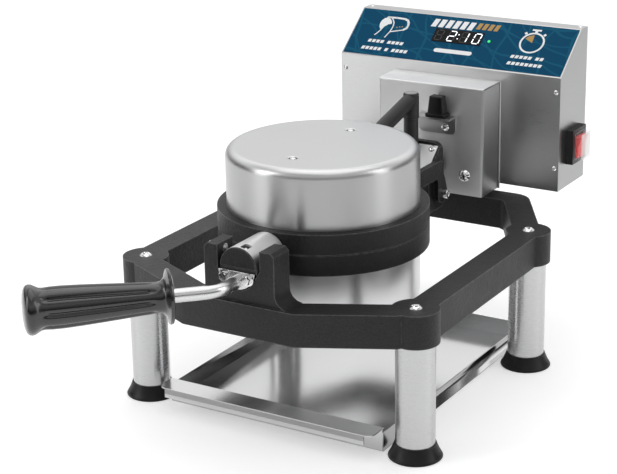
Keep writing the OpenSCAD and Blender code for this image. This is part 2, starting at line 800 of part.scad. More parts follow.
// The lid's hinge arm: back from the ring's rear, then down to the hinge bolt.
module lid_arm() plate_x(arm_x0, arm_x1) {
    translate([hinge_y, hinge_z]) circle(lug_r);
    polygon([
        [arm_root_y, parting_z + arm_relief], [138, parting_z + arm_relief],
        [hinge_y - lug_r + 0.2, parting_z - 3],
        [hinge_y - lug_r + 0.2, hinge_z + 1], [hinge_y + lug_r - 0.5, hinge_z + 3], [156, 174],
        [153, 180], [153, 190], [148, lid_arm_top], [arm_root_y, lid_arm_top]
    ]);
}

module lid_ring() color("#3a3a3c") machine() difference() {
    union() {
        upper_half() half_ring();
        difference() {
            both_sides() lid_arm();
            head_space();
        }
    }
    both_sides() translate([0, hinge_y, hinge_z]) rod_x(arm_x0 - 1, arm_x1 + 1, shoulder_r + running_gap);
    at_hub_screw() {
        cylinder(h = 5, r = hub_screw_head[0] + 0.1);
        translate([0, 0, -hub_screw_len - 1]) cylinder(h = hub_screw_len + 2, r = hub_screw_r + screw_fit);
    }
}

module lid_grid_plate() color("#5a5a5c") machine() upper_half() half_grid_plate();
module lid_heater() color("#8a8378") machine() upper_half() half_heater();

module lid_cover() color("#c3c5c7") machine() difference() {
    upper_half() half_cover();
    along_sleeve_arm() cylinder(h = arm_len + 5, r = sleeve_r + 0.4);
}

module lid_cover_screws() color("#d0d1d3") machine() upper_half() half_cover_screws();

// A window through the sleeve, over a screw in the neck.
module lid_hub_sleeve() color("#d2d3d5") machine() difference() {
    upper_half() half_hub_sleeve();
    translate([0, 0, parting_z + 10]) linear_extrude(20) {
        for (x = [hub_slot[0][0] + hub_slot_r, hub_slot[1][0] - hub_slot_r],
             y = [hub_slot[0][1] + hub_slot_r, hub_slot[1][1] - hub_slot_r])
            translate([x, y]) circle(hub_slot_r);
        translate([hub_slot[0][0] + hub_slot_r, hub_slot[0][1]])
            square([hub_slot[1][0] - hub_slot[0][0] - 2 * hub_slot_r, hub_slot[1][1] - hub_slot[0][1]]);
        translate([hub_slot[0][0], hub_slot[0][1] + hub_slot_r])
            square([hub_slot[1][0] - hub_slot[0][0], hub_slot[1][1] - hub_slot[0][1] - 2 * hub_slot_r]);
    }
}

module at_hub_screw() translate(hub_screw_at + [0, 0, parting_z]) children();

module hub_screw() color("#e0e1e2") machine() at_hub_screw()
    dome_screw(hub_screw_head[0], hub_screw_head[1], hub_screw_r, hub_screw_len);

// Places a child at the elbow, with Z along the sleeve's arm into the lid's cover.
module along_sleeve_arm() translate([0, sleeve_y, arm_z]) rotate([90 + arm_tilt, 0, 0]) children();

// Cable sleeve from the yoke up to an elbow, and forward into the lid's cover.
module cable_sleeve() color("#29292b") machine() {
    translate([0, sleeve_y, sleeve_foot_z]) cylinder(h = elbow_low - sleeve_foot_z + 1, r = sleeve_r);
    translate([0, sleeve_y, elbow_low]) cylinder(h = elbow_top - elbow_low, r = elbow_r);
    intersection() {
        along_sleeve_arm() cylinder(h = arm_len, r = sleeve_r - 0.1);
        span([-20, 0, 200], [20, sleeve_y, elbow_top - 0.1]);
    }
}

stand_frame();
leg_front_left();
leg_front_right();
leg_rear_left();
leg_rear_right();
foot_front_left();
foot_front_right();
foot_rear_left();
foot_rear_right();
frame_screws();
drip_tray();
pivot_bracket();
bracket_bolts();
control_box_shell();
control_box_back();
control_box_screws();
control_label();
display_window();
ready_light();
switch_body();
switch_rocker();
switch_cover();
cord_gland();
control_board();
transformer();
relay();
terminal_block();
shaft_flange();
shaft_bush();
bumper_bracket();
lid_bumper();
bumper_screw();
plunger_housing();
index_pin();
base_ring();
base_grid_plate();
base_heater();
base_sensor();
base_cover();
base_cover_screws();
base_hub_sleeve();
handle_plate();
handle_bolts();
handle_rod();
handle_grip();
rear_yoke();
junction_cover();
junction_screws();
hinge_bolts();
flip_shaft();
shaft_collar();
lid_ring();
lid_grid_plate();
lid_heater();
lid_cover();
lid_cover_screws();
lid_hub_sleeve();
hub_screw();
cable_sleeve();
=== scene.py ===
import math

import bmesh
import bpy
from mathutils import Matrix, Vector


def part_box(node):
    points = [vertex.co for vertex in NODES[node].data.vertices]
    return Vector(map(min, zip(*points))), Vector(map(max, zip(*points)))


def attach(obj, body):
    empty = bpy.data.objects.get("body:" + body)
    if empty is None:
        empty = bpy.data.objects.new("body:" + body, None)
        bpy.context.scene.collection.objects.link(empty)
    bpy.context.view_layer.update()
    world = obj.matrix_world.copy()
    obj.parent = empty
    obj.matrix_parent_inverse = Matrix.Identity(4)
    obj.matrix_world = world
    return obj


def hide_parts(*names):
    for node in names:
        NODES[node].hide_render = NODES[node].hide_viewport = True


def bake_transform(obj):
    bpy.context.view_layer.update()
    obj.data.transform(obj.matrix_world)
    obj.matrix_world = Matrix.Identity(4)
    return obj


# A rotary waffle iron. Lengths in this file are millimetres, measured from the floor under the
# middle of the four legs, and at() turns them into the frame's metres.

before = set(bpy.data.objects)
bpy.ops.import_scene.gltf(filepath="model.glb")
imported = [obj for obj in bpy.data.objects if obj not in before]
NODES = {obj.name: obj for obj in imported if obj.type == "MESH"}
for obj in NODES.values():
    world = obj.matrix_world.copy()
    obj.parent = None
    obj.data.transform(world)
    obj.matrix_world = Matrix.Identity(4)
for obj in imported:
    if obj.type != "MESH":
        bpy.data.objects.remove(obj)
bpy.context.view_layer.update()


# ---------- places taken from the frame ----------

def middle(node):
    low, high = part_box(node)
    return (low + high) / 2


LEGS_Y = (middle("foot_front_left").y + middle("foot_rear_left").y) / 2


def at(x, y, z):
    return Vector((x / 1000, y / 1000 + LEGS_Y, z / 1000))


def in_mm(point):
    return Vector((point.x * 1000, (point.y - LEGS_Y) * 1000, point.z * 1000))


def box_mm(node):
    low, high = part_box(node)
    return in_mm(low), in_mm(high)


TURN = math.tau


# ---------- camera ----------

def look_from(azimuth, elevation, roll, place, focal_px, width_px=617):
    az, el, ro = math.radians(azimuth), math.radians(elevation), math.radians(roll)
    back = Vector((math.sin(az) * math.cos(el), -math.cos(az) * math.cos(el), math.sin(el)))
    right = Vector((math.cos(az), math.sin(az), 0))
    up = back.cross(right)
    turned_right = right * math.cos(ro) + up * math.sin(ro)
    turned_up = up * math.cos(ro) - right * math.sin(ro)
    camera = bpy.data.objects.new("camera", bpy.data.cameras.new("camera"))
    bpy.context.scene.collection.objects.link(camera)
    camera.matrix_world = Matrix.Translation(place) @ Matrix(
        (turned_right, turned_up, back)).transposed().to_4x4()
    camera.data.sensor_width = 36
    camera.data.lens = 36 * focal_px / width_px
    camera.data.clip_end = 50
    bpy.context.scene.camera = camera


look_from(azimuth=31.38, elevation=19.12, roll=-1.12, place=at(834.1, -1426.7, 724.3),
          focal_px=1774.26)


# ---------- materials ----------

class Nodes:
    """Short calls for building a node tree."""

    def __init__(self, tree):
        self.tree = tree

    def node(self, kind, settings=None, **inputs):
        made = self.tree.nodes.new(kind)
        for key, value in (settings or {}).items():
            setattr(made, key, value)
        for key, value in inputs.items():
            self.plug(value, made.inputs[key.replace("_", " ")])
        return made

    def plug(self, value, socket):
        if isinstance(value, bpy.types.NodeSocket):
            self.tree.links.new(value, socket)
        else:
            socket.default_value = value

    def maths(self, operation, first, second=0.0):
        made = self.node("ShaderNodeMath", {"operation": operation})
        self.plug(first, made.inputs[0])
        self.plug(second, made.inputs[1])
        return made.outputs[0]

    def vector_maths(self, operation, first, second, output="Vector"):
        made = self.node("ShaderNodeVectorMath", {"operation": operation})
        self.plug(first, made.inputs[0])
        self.plug(second, made.inputs[1])
        return made.outputs[output]

    def noise(self, vector, scale, detail=4.0, roughness=0.6):
        made = self.node("ShaderNodeTexNoise", Vector=vector, Scale=scale, Detail=detail,
                         Roughness=roughness)
        return made.outputs["Fac"]

    def spread(self, value, low, high, start=0.3, end=0.7):
        """The part of value from start to end, spread over low to high."""
        made = self.node("ShaderNodeMapRange", Value=value)
        made.inputs["From Min"].default_value = start
        made.inputs["From Max"].default_value = end
        made.inputs["To Min"].default_value = low
        made.inputs["To Max"].default_value = high
        return made.outputs[0]

    def mix(self, factor, first, second):
        made = self.node("ShaderNodeMix", {"data_type": "RGBA"})
        self.plug(factor, made.inputs["Factor"])
        for value, name in ((first, "A"), (second, "B")):
            socket = isinstance(value, bpy.types.NodeSocket)
            self.plug(value if socket else (*value, 1), made.inputs[name])
        return made.outputs["Result"]


class Paint(Nodes):
    """A material, whose keywords are the shader's own inputs."""

    def __init__(self, name, colour, metallic=0.0, roughness=0.5, **inputs):
        self.mat = bpy.data.materials.new(name)
        self.mat.use_nodes = True
        super().__init__(self.mat.node_tree)
        self.bsdf = self.tree.nodes["Principled BSDF"]
        for key, value in {"Metallic": metallic, "Roughness": roughness, **inputs}.items():
            self.bsdf.inputs[key.replace("_", " ")].default_value = value
        self.bsdf.inputs["Base Color"].default_value = (*colour, 1)
        self.mat.diffuse_color = (*colour, 1)

    def place(self):
        return self.node("ShaderNodeTexCoord").outputs["Object"]

    def stretched(self, scale):
        made = self.node("ShaderNodeMapping", Vector=self.place())
        made.inputs["Scale"].default_value = scale
        return made.outputs["Vector"]

    def colour(self, socket):
        self.tree.links.new(socket, self.bsdf.inputs["Base Color"])

    def roughness(self, socket):
        self.tree.links.new(socket, self.bsdf.inputs["Roughness"])

    def bump(self, height, distance, strength=1.0):
        made = self.node("ShaderNodeBump", Height=height, Strength=strength, Distance=distance)
        self.tree.links.new(made.outputs["Normal"], self.bsdf.inputs["Normal"])

    def upright(self):
        """1 on an upright face and 0 on a level one."""
        normal = self.node("ShaderNodeNewGeometry").outputs["Normal"]
        rise = self.node("ShaderNodeSeparateXYZ", Vector=normal).outputs["Z"]
        return self.spread(self.maths("ABSOLUTE", rise), 1.0, 0.0, 0.2, 0.8)

    def painted_side_shade_mask(self):
        """The mask for painted shade: 1 on a face that looks to the left or right, and 0 on the
        others.
        """
        normal = self.node("ShaderNodeNewGeometry").outputs["Normal"]
        across = self.node("ShaderNodeSeparateXYZ", Vector=normal).outputs["X"]
        return self.spread(self.maths("ABSOLUTE", across), 0.0, 1.0, 0.7, 0.95)

    def grain_round_z(self, strength):
        """On upright faces, stretches reflections up and down, as scratches that run round Z do."""
        made = self.node("ShaderNodeTangent", {"direction_type": "RADIAL", "axis": "Z"})
        self.tree.links.new(made.outputs[0], self.bsdf.inputs["Tangent"])
        self.plug(self.maths("MULTIPLY", self.upright(), strength), self.bsdf.inputs["Anisotropic"])
        self.bsdf.inputs["Anisotropic Rotation"].default_value = 0.25


def brushed(name, tint, grain, rough=(0.28, 0.34), anisotropic=0.0, metallic=1.0, side=1.0):
    """Steel sheet with fine scratches. grain is the noise scale along X, Y and Z, per metre, and
    side scales the colour of the faces that look left and right; below 1 it paints shade on them."""
    p = Paint(name, tint, metallic=metallic)
    lines = p.noise(p.stretched(grain), 1.0, 3.0)
    clouds = p.noise(p.place(), 7.0, 3.0)
    p.roughness(p.maths("ADD", p.spread(lines, *rough), p.spread(clouds, -0.025, 0.025)))
    shade = p.mix(p.spread(lines, 0.0, 1.0, 0.25, 0.75), [c * 0.95 for c in tint], tint)
    # Faces that look left or right get painted shade here: their colour is the tint times side.
    p.colour(shade if side == 1.0 else p.mix(p.painted_side_shade_mask(), shade, [c * side for c in tint]))
    p.bump(lines, 0.000003, 0.5)
    if anisotropic:
        p.grain_round_z(anisotropic)
    return p.mat


def spun(name, tint, centre, side):
    """Satin steel turned about a vertical axis through centre, with faint fine rings. side scales
    the
    colour of the wall beside the flat: painted shade below 1, painted light above 1."""
    p = Paint(name, tint, metallic=1.0)
    apart = p.node("ShaderNodeSeparateXYZ",
                   Vector=p.vector_maths("SUBTRACT", p.place(), (centre.x, centre.y, 0)))
    radius = p.maths("SQRT", p.maths("ADD", p.maths("POWER", apart.outputs["X"], 2.0),
                                     p.maths("POWER", apart.outputs["Y"], 2.0)))
    joined = p.node("ShaderNodeCombineXYZ", X=radius, Y=apart.outputs["Z"])
    lines = p.noise(joined.outputs[0], 4200.0, 3.0)
    clouds = p.noise(p.place(), 11.0, 3.0)
    p.roughness(p.maths("ADD", p.spread(lines, 0.29, 0.35), p.spread(clouds, -0.025, 0.03)))
    shade = p.mix(p.spread(lines, 0.0, 1.0, 0.25, 0.75), [c * 0.965 for c in tint], tint)
    # The wall's colour is the tint times side: painted shade or painted light on the upright faces.
    p.colour(p.mix(p.upright(), shade, [c * side for c in tint]))
    p.bump(lines, 0.000002, 0.4)
    p.grain_round_z(0.75)
    return p.mat


def cast_paint(name, shade=0.010):
    """Black powder coat over a sand casting: fine grains, soft lumps and paler edges, partly wear
    and partly a painted highlight.
    """
    p = Paint(name, (shade, shade, shade * 1.03), roughness=0.5, Specular_IOR_Level=0.32)
    grain = p.noise(p.place(), 750.0, 3.0, 0.7)
    lumps = p.noise(p.place(), 260.0, 3.0)
    patches = p.noise(p.place(), 18.0, 3.0)
    base = p.mix(p.spread(grain, 0.0, 1.0, 0.35, 0.7), [shade * 0.5] * 3, [shade * 2.1] * 3)
    rounded = p.node("ShaderNodeBevel", {"samples": 6}, Radius=0.0022)
    flat = p.node("ShaderNodeNewGeometry").outputs["Normal"]
    apart = p.vector_maths("DOT_PRODUCT", rounded.outputs[0], flat, "Value")
    edges = p.spread(apart, 1.0, 0.0, 0.80, 0.985)
    # The pale edge colour is partly worn paint and partly a painted highlight along the rounded
    # edges.
    wear_and_painted_highlight = p.maths("MULTIPLY", edges, p.spread(lumps, 0.25, 0.8, 0.35, 0.65))
    p.colour(p.mix(wear_and_painted_highlight, base, (0.17, 0.17, 0.174)))
    p.roughness(p.maths("ADD", p.spread(grain, 0.36, 0.54), p.spread(patches, -0.05, 0.05)))
    p.bump(p.maths("ADD", grain, p.maths("MULTIPLY", lumps, 1.4)), 0.0005, 0.75)
    return p.mat


def polished(name, tint, rough=0.16):
    """Turned or plated steel with faint smears."""
    p = Paint(name, tint, metallic=1.0)
    smears = p.noise(p.place(), 45.0, 3.0)
    p.roughness(p.spread(smears, rough * 0.9, rough * 1.15))
    p.bump(p.noise(p.place(), 900.0, 2.0), 0.000001, 0.3)
    return p.mat


def rubber(name, shade=0.004):
    p = Paint(name, (shade, shade, shade), roughness=0.5, Specular_IOR_Level=0.3)
    dust = p.noise(p.place(), 90.0, 4.0)
    p.colour(p.mix(p.spread(dust, 0.0, 1.0), [shade] * 3, [shade * 1.8] * 3))
    p.roughness(p.spread(dust, 0.36, 0.52))
    p.bump(p.noise(p.place(), 1200.0, 2.0), 0.0001, 0.3)
    return p.mat


def gloss_black(name):
    p = Paint(name, (0.006, 0.006, 0.007), roughness=0.2, Coat_Weight=0.6, Coat_Roughness=0.1)
    smears = p.noise(p.place(), 70.0, 4.0)
    p.roughness(p.spread(smears, 0.2, 0.32))
    p.bump(p.noise(p.place(), 500.0, 3.0), 0.00005, 0.25)
    return p.mat


def plain_plastic(name, colour, rough=0.4, **inputs):
    p = Paint(name, colour, roughness=rough, **inputs)
    specks = p.noise(p.place(), 400.0, 3.0)
    p.colour(p.mix(p.spread(specks, 0.0, 1.0), [c * 0.92 for c in colour], colour))
    p.roughness(p.spread(specks, rough * 0.9, rough * 1.1))
    p.bump(p.noise(p.place(), 1600.0, 2.0), 0.00004, 0.25)
    return p.mat


def label_print(name):
    """Blue printed overlay, with a paler pattern of crossing lines and rings."""
    blue, line = (0.0012, 0.058, 0.125), (0.007, 0.10, 0.175)
    p = Paint(name, blue, roughness=0.55, Specular_IOR_Level=0.06)
    swell = p.node("ShaderNodeTexNoise", Vector=p.place(), Scale=14.0, Detail=1.0).outputs["Color"]
    bent = p.vector_maths("ADD", p.place(), p.vector_maths("MULTIPLY", swell, (0.05, 0.05, 0.05)))
    lines = None
    for settings, scale in (
        ({"wave_type": "BANDS", "bands_direction": "DIAGONAL"}, 16.0),
        ({"wave_type": "BANDS", "bands_direction": "X"}, 11.0),
        ({"wave_type": "RINGS", "rings_direction": "SPHERICAL"}, 13.0),
    ):
        wave = p.node("ShaderNodeTexWave", settings, Vector=bent, Scale=scale)
        thin = p.spread(wave.outputs["Fac"], 0.0, 1.0, 0.972, 0.99)
        lines = thin if lines is None else p.maths("MAXIMUM", lines, thin)
    p.colour(p.mix(p.maths("MULTIPLY", lines, 0.7), blue, line))
    p.bump(p.noise(p.place(), 700.0, 2.0), 0.00002, 0.3)
    return p.mat


def clear_plastic(name):
    """A thin clear moulding, milky on its outer face."""
    p = Paint(name, (0.80, 0.80, 0.80), roughness=0.12)
    smears = p.noise(p.place(), 60.0)
    p.roughness(p.spread(smears, 0.08, 0.16))
    normal = p.node("ShaderNodeNewGeometry").outputs["Normal"]
    outward = p.node("ShaderNodeSeparateXYZ", Vector=normal).outputs["X"]
    milky = p.spread(p.maths("ABSOLUTE", outward), 0.10, 0.42, 0.5, 0.95)
    p.plug(p.maths("ADD", milky, p.spread(smears, -0.03, 0.03)), p.bsdf.inputs["Alpha"])
    return p.mat


def glowing(name, colour, strength):
    p = Paint(name, colour, roughness=0.3, Emission_Strength=strength)
    p.bsdf.inputs["Emission Color"].default_value = (*colour, 1)
    p.roughness(p.spread(p.noise(p.place(), 300.0), 0.25, 0.35))
    return p.mat


HEAD = middle("lid_cover")
CAST = cast_paint("cast_paint")
CAST_DARK = cast_paint("cast_paint_dark", 0.008)
# Each sheet's side value paints shade on its faces that look left and right.
SHEET_X = brushed("brushed_along_x", (0.55, 0.552, 0.555), (60, 4200, 4200), (0.28, 0.34),
                  anisotropic=0.6, side=0.7)
SHEET_SOFT = brushed("satin_sheet", (0.84, 0.842, 0.845), (60, 4200, 4200), (0.40, 0.46),
                     anisotropic=0.7, metallic=0.76, side=0.28)
SHEET_TRAY = brushed("brushed_tray", (0.62, 0.622, 0.625), (4200, 50, 4200), (0.13, 0.17), side=0.7)
TUBE = brushed("satin_tube", (0.55, 0.552, 0.555), (60, 60, 4200), (0.24, 0.3), 0.7)
# One steel in two copies: the lid drum's wall takes painted shade and the base drum's wall painted
# light.
DRUM_SHADED_WALL = spun("spun_drum", (0.60, 0.602, 0.605), HEAD, 0.76)
DRUM_LOW_LIT_WALL = spun("spun_drum_low", (0.60, 0.602, 0.605), HEAD, 1.15)
MACHINED = polished("machined_steel", (0.66, 0.662, 0.665), 0.26)
PLATED = polished("plated_screw", (0.74, 0.742, 0.745), 0.13)
RUBBER = rubber("foot_rubber")
SLEEVE = rubber("sleeve_rubber", 0.014)
GRIP = gloss_black("grip_plastic")
BLACK = plain_plastic("black_plastic", (0.009, 0.009, 0.010), 0.38, Specular_IOR_Level=0.35)
GRID = polished("coated_grid", (0.10, 0.10, 0.105), 0.32)
HEATER = polished("heater_sheath", (0.24, 0.20, 0.17), 0.34)
BRONZE = polished("bronze_bush", (0.55, 0.38, 0.16), 0.3)
LABEL = label_print("label_print")
WHITE_INK = plain_plastic("white_ink", (0.86, 0.87, 0.88), 0.5, Specular_IOR_Level=0.1)
GOLD_INK = plain_plastic("gold_ink", (0.47, 0.29, 0.10), 0.5, Specular_IOR_Level=0.1)
SCREEN = plain_plastic("display_screen", (0.003, 0.003, 0.004), 0.3, Specular_IOR_Level=0.12)
DIM_SEGMENT = plain_plastic("dim_segment", (0.06, 0.06, 0.062), 0.5, Specular_IOR_Level=0.1)
LIT_SEGMENT = glowing("lit_segment", (0.9, 0.95, 1.0), 0.9)
GREEN = glowing("green_lens", (0.02, 0.55, 0.12), 0.8)
RED = glowing("rocker_red", (0.66, 0.010, 0.008), 0.35)
CLEAR = clear_plastic("clear_cover")
PALE_TOP = plain_plastic("pale_top_grey", (0.30, 0.30, 0.30), 0.35)
BOARD = plain_plastic("board_green", (0.02, 0.16, 0.06), 0.4)
CORE = plain_plastic("transformer_core", (0.25, 0.20, 0.09), 0.5)
RELAY = plain_plastic("relay_case", (0.03, 0.06, 0.16), 0.3)
CERAMIC = plain_plastic("terminal_ceramic", (0.75, 0.73, 0.66), 0.5)


# ---------- mesh helpers ----------

def show(name, mesh, material, body, replaces=(), smooth=True):
    """Puts a mesh in the scene as one piece of a body."""
    obj = bpy.data.objects.new(name, mesh)
    bpy.context.scene.collection.objects.link(obj)
    mesh.materials.append(material)
    if smooth:
        mesh.polygons.foreach_set("use_smooth", [True] * len(mesh.polygons))
        mesh.set_sharp_from_angle(angle=math.radians(40))
    if body:
        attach(obj, body)
    if replaces:
        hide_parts(*replaces)
    return obj


def add_bevel(obj, width, segments=3, angle=30):
    bevel = obj.modifiers.new("soft_edges", "BEVEL")
    bevel.width = width / 1000
    bevel.segments = segments
    bevel.limit_method = "ANGLE"
    bevel.angle_limit = math.radians(angle)
    bevel.harden_normals = False
    weighted = obj.modifiers.new("even_normals", "WEIGHTED_NORMAL")
    weighted.keep_sharp = False


def polish(node, material, width=0.0, angle=30, segments=3):
    """Gives a CAD node its finish and, where width is set, its soft edges in millimetres."""
    obj = NODES[node]
    obj.data.materials.clear()
    obj.data.materials.append(material)
    if width:
        obj.data.polygons.foreach_set("use_smooth", [True] * len(obj.data.polygons))
        weld = obj.modifiers.new("weld", "WELD")
        weld.merge_threshold = 0.00001
        flat = obj.modifiers.new("one_face_a_plane", "DECIMATE")
        flat.decimate_type = "DISSOLVE"
        flat.angle_limit = math.radians(0.5)
        add_bevel(obj, width, segments, angle)


def to_mesh(name, bm):
    bmesh.ops.remove_doubles(bm, verts=bm.verts, dist=1e-7)
    bmesh.ops.recalc_face_normals(bm, faces=bm.faces)
    mesh = bpy.data.meshes.new(name)
    bm.to_mesh(mesh)
    bm.free()
    return mesh


def arc(centre, radius, start, end, steps):
    """Points on an arc, in degrees."""
    angles = [math.radians(start + (end - start) * i / steps) for i in range(steps + 1)]
    return [(centre[0] + radius * math.cos(a), centre[1] + radius * math.sin(a)) for a in angles]


def lathe(profile, place, steps=96, bm=None):
    """Turns (radius, height) points about Z, then moves them by place, a matrix in millimetres."""
    bm = bm or bmesh.new()
    rings = []
    for radius, height in profile:
        if radius < 1e-6:
            rings.append([bm.verts.new(place @ Vector((0, 0, height)))])
            continue
        rings.append([
            bm.verts.new(place @ Vector((radius * math.cos(TURN * i / steps),
                                         radius * math.sin(TURN * i / steps), height)))
            for i in range(steps)
        ])
    for low, high in zip(rings, rings[1:]):
        for i in range(steps):
            j = (i + 1) % steps
            corners = list(dict.fromkeys([low[i % len(low)], low[j % len(low)],
                                          high[j % len(high)], high[i % len(high)]]))
            if len(corners) > 2:
                bm.faces.new(corners)
    return bm


def prism(outline, place, low, high, bm=None):
    """A flat outline of X and Y, from height low to high, moved by place."""
    bm = bm or bmesh.new()
    bottom = [bm.verts.new(place @ Vector((x, y, low))) for x, y in outline]
    top = [bm.verts.new(place @ Vector((x, y, high))) for x, y in outline]
    bm.faces.new(bottom)
    bm.faces.new(top)
    for i in range(len(outline)):
        j = (i + 1) % len(outline)
        bm.faces.new([bottom[i], bottom[j], top[j], top[i]])
    return bm


def block(low, high, bm=None):
    """A box between two corners in millimetres."""
    outline = [(low[0], low[1]), (high[0], low[1]), (high[0], high[1]), (low[0], high[1])]
    return prism(outline, MM, low[2], high[2], bm)


MM = Matrix.Translation(at(0, 0, 0)) @ Matrix.Scale(0.001, 4)


def stand_at(x, y, z, turn=Matrix.Identity(4)):
    """A place in millimetres, with its own turn."""
    return MM @ Matrix.Translation((x, y, z)) @ turn


FORWARD = Matrix.Rotation(math.radians(90), 4, "X")


# ---------- CAD nodes with their finishes ----------

def finish_cad_nodes():
    polish("stand_frame", CAST, 2.6, 30, 4)
    polish("base_ring", CAST_DARK, 1.6)
    polish("lid_ring", CAST_DARK, 1.6)
    polish("rear_yoke", CAST_DARK, 1.2)
    polish("shaft_flange", CAST_DARK, 0.8)
    for name in ("leg_front_left", "leg_front_right", "leg_rear_left", "leg_rear_right"):
        polish(name, TUBE)
    polish("control_box_shell", SHEET_X, 0.7)
    polish("control_box_back", SHEET_X, 0.4)
    polish("junction_cover", SHEET_SOFT, 0.3)
    for name in ("base_hub_sleeve", "lid_hub_sleeve"):
        polish(name, SHEET_SOFT, 0.4, 40)
    polish("handle_plate", MACHINED, 0.5, 40)
    for name in ("handle_rod", "plunger_housing", "index_pin", "flip_shaft", "shaft_collar"):
        polish(name, MACHINED)
    for name in ("base_grid_plate", "lid_grid_plate"):
        polish(name, GRID, 0.8, 40, 2)
    for name in ("base_heater", "lid_heater", "base_sensor"):
        polish(name, HEATER)
    polish("shaft_bush", BRONZE)
    polish("control_label", LABEL)
    polish("display_window", SCREEN, 0.3)
    polish("ready_light", GREEN)
    polish("switch_body", BLACK, 1.0)
    polish("switch_rocker", RED, 0.8, 20)
    polish("switch_cover", CLEAR, 0.8)
    polish("cord_gland", BLACK, 0.5, 40)
    polish("control_board", BOARD, 0.2)
    polish("transformer", CORE, 1.0)
    polish("relay", RELAY, 0.8)
    polish("terminal_block", CERAMIC, 0.8)


finish_cad_nodes()


# ---------- feet ----------

def foot(node):
    low, high = box_mm(node)
    centre = (low + high) / 2
    radius, top = (high.x - low.x) / 2, high.z
    leg_r = radius - 7
    flank = [(radius - 5.8 * s ** 0.72, 2.2 + (top - 3) * s) for s in (i / 10 for i in range(11))]
    profile = [(0, 0), (radius - 1.2, 0)] + arc((radius - 1.2, 1.2), 1.2, -90, 0, 4) + flank[1:]
    profile += [(leg_r + 1.0, top), (leg_r + 0.02, top - 0.3), (leg_r + 0.02, top - 10),
                (0, top - 10)]
    mesh = to_mesh(node + "_moulded", lathe(profile, stand_at(centre.x, centre.y, 0)))
    show(node + "_moulded", mesh, RUBBER, "stand", [node])


for corner in ("front_left", "front_right", "rear_left", "rear_right"):
    foot("foot_" + corner)


# ---------- screws ----------

def screw_head(radius, height, place, bm):
    """A domed head with a cross recess, made of a lathe whose top dips along two slots."""
    steps, rings = 48, 10
    slot_half, slot_reach, slot_deep = radius * 0.16, radius * 0.62, height * 0.55
    ball = (radius ** 2 + height ** 2) / (2 * height)
    grid = []
    for ring in range(rings + 1):
        r = radius * ring / rings
        row = []
        for i in range(steps if ring else 1):
            a = TURN * i / steps
            x, y = r * math.cos(a), r * math.sin(a)
            z = height - ball + math.sqrt(max(ball ** 2 - r ** 2, 0))
            if min(abs(x), abs(y)) < slot_half and r < slot_reach:
                z -= slot_deep * (1 - (r / slot_reach) ** 2)
            row.append(bm.verts.new(place @ Vector((x, y, z))))
        grid.append(row)
    for r, z in ((radius, 0), (radius * 0.5, -1.0)):
        grid.append([bm.verts.new(place @ Vector((r * math.cos(TURN * i / steps),
                                                  r * math.sin(TURN * i / steps), z)))
                     for i in range(steps)])
    for low, high in zip(grid, grid[1:]):
        for i in range(steps):
            j = (i + 1) % steps
            corners = [low[i % len(low)], low[j % len(low)], high[j], high[i]]
            bm.faces.new(list(dict.fromkeys(corners)))
    bm.faces.new(grid[-1])


def screws(name, node, body, places, radius, height):
    bm = bmesh.new()
    for place in places:
        screw_head(radius, height, place, bm)
    return show(name, to_mesh(name, bm), PLATED, body, [node])


def spin(angle):
    return Matrix.Rotation(angle, 4, "Z")


def all_screws():
    corners = ("front_left", "front_right", "rear_left", "rear_right")
    radius, height = 6.2, 3.0
    top = box_mm("frame_screws")[1].z - height
    legs = [in_mm(middle("leg_" + corner)) for corner in corners]
    screws("frame_screw_heads", "frame_screws", "stand",
           [stand_at(p.x, p.y, top, spin(i * 0.7)) for i, p in enumerate(legs)], radius, height)

    low, high = box_mm("bracket_bolts")
    radius, height = 7, 4.5
    screws("bracket_bolt_heads", "bracket_bolts", "stand",
           [stand_at(x, low.y + height, (low.z + high.z) / 2, FORWARD @ spin(0.5))
            for x in (low.x + radius, high.x - radius)], radius, height)

    low, high = box_mm("control_box_screws")
    face, roof = box_mm("control_box_shell")
    radius, height, upper_z = 2.8, 1.5, 258
    across = (low.x + radius, high.x - radius)
    places = [stand_at(x, face.y, z, FORWARD @ spin(x + z))
              for x in across for z in (low.z + radius, upper_z)]
    places += [stand_at(x, high.y - radius, roof.z) for x in across]
    screws("control_box_screw_heads", "control_box_screws", "stand", places, radius, height)

    low, high = box_mm("bumper_screw")
    radius, height = 4.7, 2.6
    place = stand_at((low.x + high.x) / 2, low.y + height, (low.z + high.z) / 2,
                     FORWARD @ spin(0.4))
    screws("bumper_screw_head", "bumper_screw", "stand", [place], radius, height)

    apart, up_slope, proud = 23, 28, 1.5
    screws("junction_screw_heads", "junction_screws", "head",
           [YOKE_SLOPE @ Matrix.Translation((side * apart, up_slope, proud)) @ spin(side * 0.6)
            for side in (-1, 1)], 3.8, 2.0)

    low, high = box_mm("hub_screw")
    radius, height = 2.4, 1.4
    place = stand_at((low.x + high.x) / 2, (low.y + high.y) / 2, high.z - height, spin(0.3))
    screws("hub_screw_head", "hub_screw", "lid", [place], radius, height)


def nut(radius, height, place, bm):
    """A hexagon head with a turned chamfer on its outer face."""
    chamfer = 0.5
    corners = [(radius * math.cos(TURN * i / 6), radius * math.sin(TURN * i / 6)) for i in range(6)]
    edge = []
    for (x0, y0), (x1, y1) in zip(corners, corners[1:] + corners[:1]):
        edge += [(x0 + (x1 - x0) * k / 6, y0 + (y1 - y0) * k / 6) for k in range(6)]
    flat = radius * math.cos(TURN / 12)

    def row(scale_to, drop):
        made = []
        for x, y in edge:
            r = math.hypot(x, y)
            s = min(1, scale_to / r)
            fall = drop + max(0, (r * s - flat)) * 0.6
            made.append(bm.verts.new(place @ Vector((x * s, y * s, height - fall))))
        return made

    bottom = [bm.verts.new(place @ Vector((x, y, 0))) for x, y in edge]
    rows = [bottom, row(radius, chamfer), row(flat - 0.1, 0.0)]
    for low, high in zip(rows, rows[1:]):
        for i in range(len(edge)):
            j = (i + 1) % len(edge)
            bm.faces.new([low[i], low[j], high[j], high[i]])
    bm.faces.new(rows[-1])
    bm.faces.new(bottom)


